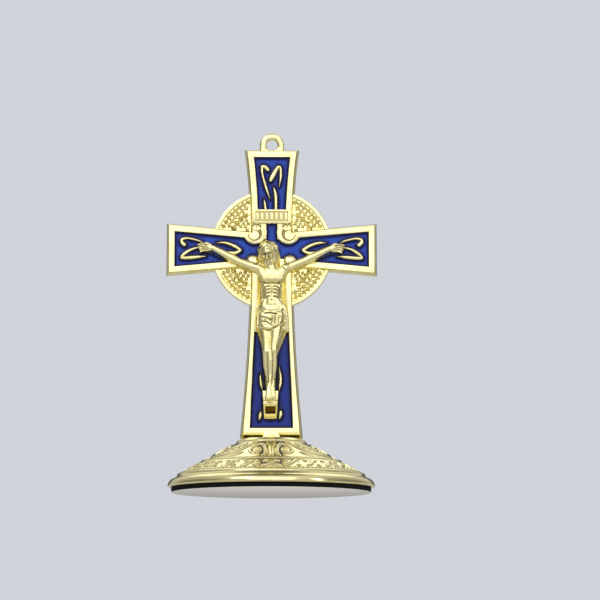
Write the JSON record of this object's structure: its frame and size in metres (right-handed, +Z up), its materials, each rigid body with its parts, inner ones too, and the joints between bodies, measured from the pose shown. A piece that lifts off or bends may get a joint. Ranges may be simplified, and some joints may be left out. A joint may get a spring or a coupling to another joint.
{
  "type": "metal crucifix",
  "caption": "Small standing crucifix: a cast Celtic cross with enamel fields, a relief figure, a disc behind the crossing and a hanging ring, on a bell-shaped round foot.",
  "frame": {"origin": "centre of the underside of the liner stuck under the foot", "axes": "+Z up along the cross, -Y out of the face with the figure, +X to the right of a viewer who looks at that face"},
  "size_m": [0.064, 0.062, 0.11],
  "materials": {
    "gold": "polished pale gold plate",
    "enamel": "glossy translucent blue enamel",
    "foam": "matt black foam",
    "liner": "smooth backing paper"
  },
  "bodies": {
    "root": {"cross": "gold", "enamel_top": "enamel", "enamel_arms": "enamel", "enamel_shaft": "enamel", "foot": "gold", "foam_pad": "foam", "pad_liner": "liner"}
  },
  "joints": []
}
